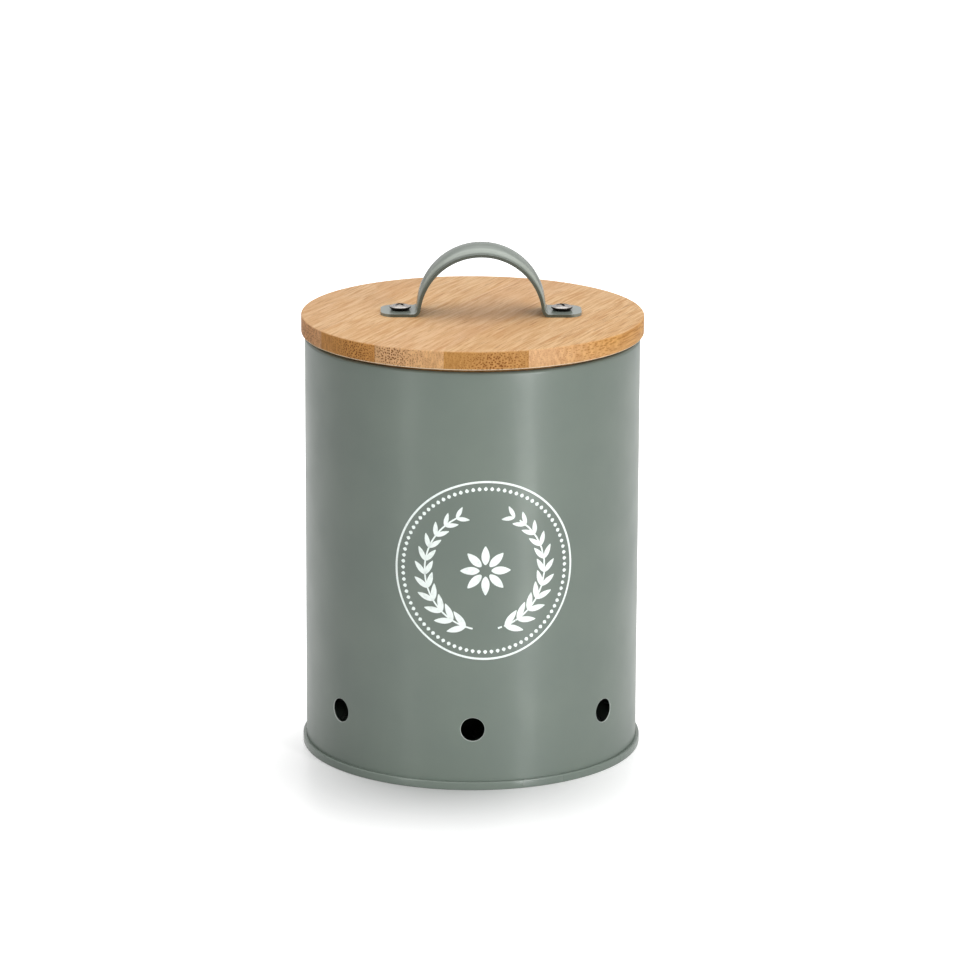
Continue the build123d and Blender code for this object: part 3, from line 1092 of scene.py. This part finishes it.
zinc = zinc_plate()
for side, turn in zip((-1, 1), screw_turns):
    name = "left" if side < 0 else "right"
    place = Matrix.Translation((handle_shift + side * screw_x, 0, lid_top + strap_thickness))
    place = place @ Matrix.Rotation(turn, 4, "Z")
    body = lathe(screw_outline())
    bmesh.ops.transform(body, matrix=place, verts=body.verts)
    screw = make_piece(f"screw_{name}", body, zinc, "lid", "zinc_screw", f"handle_screw_{name}")
    cross = recess()
    bmesh.ops.transform(cross, matrix=place, verts=cross.verts)
    cut(screw, cross)
    screw.data.set_sharp_from_angle(angle=sharp_angle)
    soften(screw, screw_edge, segments=2)

# ---------------------------------------------------------------- table and light
# A pale table that runs out of sight, two tall soft boxes in front, a wide one above, and a
# white room. For glossy pieces only, its wall is dim just above the table's far edge.
table_half = 12
table_level = -0.02 * MM
room_light = 0.12
horizon_light = 0.1
horizon_rise = 0.12
glow_centre = (-10 * MM, -40 * MM)
glow_from = 18 * MM
glow_to = 116 * MM
mirrored_glow = 0.7
mirrored_near = 0.7
mirrored_far = 1.6


def white_table():
    """Satin pale grey laminate, lit from below like a light table: it shows white all round and
    keeps the soft shadow at the can's foot. The can's paint mirrors it too. The lamps already
    light it, so a mirrored ray gets a smaller share of the glow, which falls off with distance."""
    surface = "#cfcfcf"
    made, tree = new_material("satin_white_table")
    ray = node(tree, "LightPath")
    place = node(tree, "TexCoord")["Object"]
    centre = (*glow_centre, 0)
    reach = node(tree, "VectorMath", {0: place, 1: centre}, operation="DISTANCE")["Value"]
    glow = node(tree, "MapRange", {"Value": reach, 1: glow_from, 2: glow_to})[0]
    near = node(tree, "MapRange", {
        "Value": reach, 1: mirrored_near, 2: mirrored_far, 3: mirrored_glow, 4: horizon_light,
    })[0]
    mirrored = node(tree, "Math", {0: ray["Is Glossy Ray"], 1: near}, operation="MULTIPLY")[0]
    seen = node(tree, "Math", {0: ray["Is Camera Ray"], 1: mirrored}, operation="MAXIMUM")[0]
    seen = node(tree, "Math", {0: seen, 1: ray["Is Transmission Ray"]}, operation="MAXIMUM")[0]
    lift = node(tree, "Math", {0: seen, 1: glow}, operation="MULTIPLY")[0]
    shader = node(tree, "BsdfPrincipled", {
        "Base Color": linear(surface),
        "Roughness": 0.3,
        "Specular IOR Level": 0.3,
        "IOR": 1.5,
        "Emission Color": (1, 1, 1, 1),
        "Emission Strength": lift,
    })
    node(tree, "OutputMaterial", {"Surface": shader[0]})
    return made


def soft_box(name, azimuth, elevation, distance, width, height, power):
    """A rectangular soft box that faces the can, its azimuth from the front towards the right."""
    lamp = bpy.data.lights.new(name, "AREA")
    lamp.shape = "RECTANGLE"
    lamp.size = width
    lamp.size_y = height
    lamp.energy = power
    box = bpy.data.objects.new(name, lamp)
    bpy.context.scene.collection.objects.link(box)
    target = Vector((0, 0, rim_height / 2))
    level = distance * math.cos(math.radians(elevation))
    rise = distance * math.sin(math.radians(elevation))
    box.location = target + around(level, math.radians(azimuth), rise)
    box.rotation_euler = (target - box.location).to_track_quat("-Z", "Y").to_euler()
    box.visible_camera = False


table = bmesh.new()
bmesh.ops.create_grid(table, x_segments=1, y_segments=1, size=table_half)
bmesh.ops.translate(table, verts=table.verts, vec=(0, 0, table_level))
table_mesh = bpy.data.meshes.new("table")
table.to_mesh(table_mesh)
table.free()
table_mesh.materials.append(white_table())
table_top = bpy.data.objects.new("table", table_mesh)
bpy.context.scene.collection.objects.link(table_top)

tall_box = {"elevation": 9, "distance": 2.4, "width": 0.26, "height": 0.92}
soft_box("key_box", azimuth=37, power=37, **tall_box)
soft_box("fill_box", azimuth=-43, power=8, **tall_box)
soft_box("top_box", azimuth=0, elevation=89, distance=1.3, width=2.2, height=2.2, power=24)

world = bpy.data.worlds.new("white_room")
bpy.context.scene.world = world
world.use_nodes = True
room = world.node_tree
room.nodes.clear()
ray = node(room, "LightPath")
upward = node(room, "SeparateXYZ", {0: node(room, "TexCoord")["Generated"]})["Z"]
wall = node(room, "MapRange", {"Value": upward, 1: 0, 2: horizon_rise, 3: horizon_light, 4: 1})[0]
wall = node(room, "Math", {0: wall, 1: ray["Is Glossy Ray"]}, operation="MULTIPLY")[0]
seen = node(room, "Math", {0: ray["Is Camera Ray"], 1: wall}, operation="MAXIMUM")[0]
seen = node(room, "Math", {0: seen, 1: ray["Is Transmission Ray"]}, operation="MAXIMUM")[0]
level = node(room, "MapRange", {"Value": seen, 3: room_light, 4: 1})[0]
light = node(room, "Background", {"Color": (1, 1, 1, 1), "Strength": level})
node(room, "OutputWorld", {"Surface": light[0]})

bpy.context.scene.view_settings.view_transform = "Standard"
